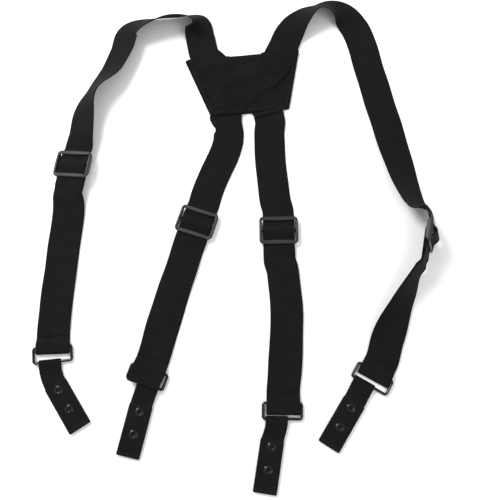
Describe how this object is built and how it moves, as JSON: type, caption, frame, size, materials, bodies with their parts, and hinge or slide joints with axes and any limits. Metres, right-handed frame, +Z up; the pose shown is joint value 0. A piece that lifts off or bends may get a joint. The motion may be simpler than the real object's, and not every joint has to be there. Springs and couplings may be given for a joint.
{
  "type": "detachable x-back suspender harness for a lumbar support belt",
  "caption": "X-back elastic shoulder straps that snap onto a lumbar support belt: sewn yoke, strap sliders, wire rings and press-stud tabs.",
  "frame": {"origin": "centre of the yoke's back face, on the surface the harness lies on", "axes": "+Z up from the surface through the yoke, +Y along the harness towards the shoulder arches, +X to the right seen from above"},
  "size_m": [0.4741, 0.6191, 0.0466],
  "materials": {
    "webbing": "ribbed elastic, matte",
    "yoke": "ribbed elastic, matte",
    "thread": "matte",
    "slider": "satin",
    "ring": "glossy",
    "snap": "glossy"
  },
  "bodies": {
    "harness": {"yoke_back_panel": "yoke", "yoke_front_panel": "yoke", "yoke_seam_thread": "thread", "front_left_strap": "webbing", "back_left_strap": "webbing", "back_right_strap": "webbing", "front_right_strap": "webbing"},
    "front_left_slider_body": {"front_left_slider": "slider", "front_left_front_run": "webbing", "front_left_return_run": "webbing"},
    "front_left_carrier": {"front_left_loop_fold": "webbing"},
    "front_left_ring_body": {"front_left_ring": "ring"},
    "front_left_tab": {"front_left_tab_loop": "webbing", "front_left_tab_panel": "webbing", "front_left_tab_stitching": "thread", "front_left_snap_sockets": "snap", "front_left_snap_caps": "snap"},
    "back_left_slider_body": {"back_left_slider": "slider", "back_left_front_run": "webbing", "back_left_return_run": "webbing"},
    "back_left_carrier": {"back_left_loop_fold": "webbing"},
    "back_left_ring_body": {"back_left_ring": "ring"},
    "back_left_tab": {"back_left_tab_loop": "webbing", "back_left_tab_panel": "webbing", "back_left_tab_stitching": "thread", "back_left_snap_sockets": "snap", "back_left_snap_caps": "snap"},
    "back_right_slider_body": {"back_right_slider": "slider", "back_right_front_run": "webbing", "back_right_return_run": "webbing"},
    "back_right_carrier": {"back_right_loop_fold": "webbing"},
    "back_right_ring_body": {"back_right_ring": "ring"},
    "back_right_tab": {"back_right_tab_loop": "webbing", "back_right_tab_panel": "webbing", "back_right_tab_stitching": "thread", "back_right_snap_sockets": "snap", "back_right_snap_caps": "snap"},
    "front_right_slider_body": {"front_right_slider": "slider", "front_right_front_run": "webbing", "front_right_return_run": "webbing"},
    "front_right_carrier": {"front_right_loop_fold": "webbing"},
    "front_right_ring_body": {"front_right_ring": "ring"},
    "front_right_tab": {"front_right_tab_loop": "webbing", "front_right_tab_panel": "webbing", "front_right_tab_stitching": "thread", "front_right_snap_sockets": "snap", "front_right_snap_caps": "snap"}
  },
  "joints": [
    {"name": "front_left_adjust", "type": "slide", "parent": "harness", "child": "front_left_slider_body", "axis": [-0.1564, -0.9877, 0], "range_m": [-0.025, 0.025], "deforming": ["front_left_strap"]},
    {"name": "front_left_take_up", "type": "slide", "parent": "front_left_slider_body", "child": "front_left_carrier", "axis": [-0.0527, -0.9984, -0.0221], "range_m": [-0.0125, 0.0125], "deforming": ["front_left_front_run", "front_left_return_run"]},
    {"name": "front_left_ring_swing", "type": "hinge", "parent": "front_left_carrier", "child": "front_left_ring_body", "pos_m": [-0.2224, -0.33604, 0.0032], "axis": [-0.9945, -0.1045, 0], "range_deg": [-75, 75], "deforming": ["front_left_loop_fold"]},
    {"name": "front_left_tab_swing", "type": "hinge", "parent": "front_left_ring_body", "child": "front_left_tab", "pos_m": [-0.22059, -0.35325, 0.0032], "axis": [-0.9945, -0.1045, 0], "range_deg": [-100, 100]},
    {"name": "back_left_adjust", "type": "slide", "parent": "harness", "child": "back_left_slider_body", "axis": [-0.309, -0.9511, 0], "range_m": [-0.04, 0.04], "deforming": ["back_left_strap"]},
    {"name": "back_left_take_up", "type": "slide", "parent": "back_left_slider_body", "child": "back_left_carrier", "axis": [-0.2805, -0.9598, 0], "range_m": [-0.02, 0.02], "deforming": ["back_left_front_run", "back_left_return_run"]},
    {"name": "back_left_ring_swing", "type": "hinge", "parent": "back_left_carrier", "child": "back_left_ring_body", "pos_m": [-0.10915, -0.36179, 0.0032], "axis": [-0.9455, 0.3256, 0], "range_deg": [-75, 75], "deforming": ["back_left_loop_fold"]},
    {"name": "back_left_tab_swing", "type": "hinge", "parent": "back_left_ring_body", "child": "back_left_tab", "pos_m": [-0.11478, -0.37815, 0.0032], "axis": [-0.9455, 0.3256, 0], "range_deg": [-100, 20]},
    {"name": "back_right_adjust", "type": "slide", "parent": "harness", "child": "back_right_slider_body", "axis": [0.0175, -0.9998, 0], "range_m": [-0.04, 0.04], "deforming": ["back_right_strap"]},
    {"name": "back_right_take_up", "type": "slide", "parent": "back_right_slider_body", "child": "back_right_carrier", "axis": [0.0148, -0.9999, 0], "range_m": [-0.02, 0.02], "deforming": ["back_right_front_run", "back_right_return_run"]},
    {"name": "back_right_ring_swing", "type": "hinge", "parent": "back_right_carrier", "child": "back_right_ring_body", "pos_m": [0.0416, -0.39948, 0.0032], "axis": [-0.9998, 0.0175, 0], "range_deg": [-75, 75], "deforming": ["back_right_loop_fold"]},
    {"name": "back_right_tab_swing", "type": "hinge", "parent": "back_right_ring_body", "child": "back_right_tab", "pos_m": [0.0413, -0.41678, 0.0032], "axis": [-0.9998, 0.0175, 0], "range_deg": [-100, 100]},
    {"name": "front_right_adjust", "type": "slide", "parent": "harness", "child": "front_right_slider_body", "axis": [-0.1908, -0.9816, 0], "range_m": [-0.025, 0.025], "deforming": ["front_right_strap"]},
    {"name": "front_right_take_up", "type": "slide", "parent": "front_right_slider_body", "child": "front_right_carrier", "axis": [-0.3644, -0.9226, -0.1262], "range_m": [-0.0125, 0.0125], "deforming": ["front_right_front_run", "front_right_return_run"]},
    {"name": "front_right_ring_swing", "type": "hinge", "parent": "front_right_carrier", "child": "front_right_ring_body", "pos_m": [0.14839, -0.36465, 0.0032], "axis": [-0.866, 0.5, 0], "range_deg": [-75, 75], "deforming": ["front_right_loop_fold"]},
    {"name": "front_right_tab_swing", "type": "hinge", "parent": "front_right_ring_body", "child": "front_right_tab", "pos_m": [0.13974, -0.37963, 0.0032], "axis": [-0.866, 0.5, 0], "range_deg": [-100, 100]}
  ],
  "couplings": [
    {"joint": "front_left_take_up", "follows": "front_left_adjust", "ratio": -0.5},
    {"joint": "back_left_take_up", "follows": "back_left_adjust", "ratio": -0.5},
    {"joint": "back_right_take_up", "follows": "back_right_adjust", "ratio": -0.5},
    {"joint": "front_right_take_up", "follows": "front_right_adjust", "ratio": -0.5}
  ]
}
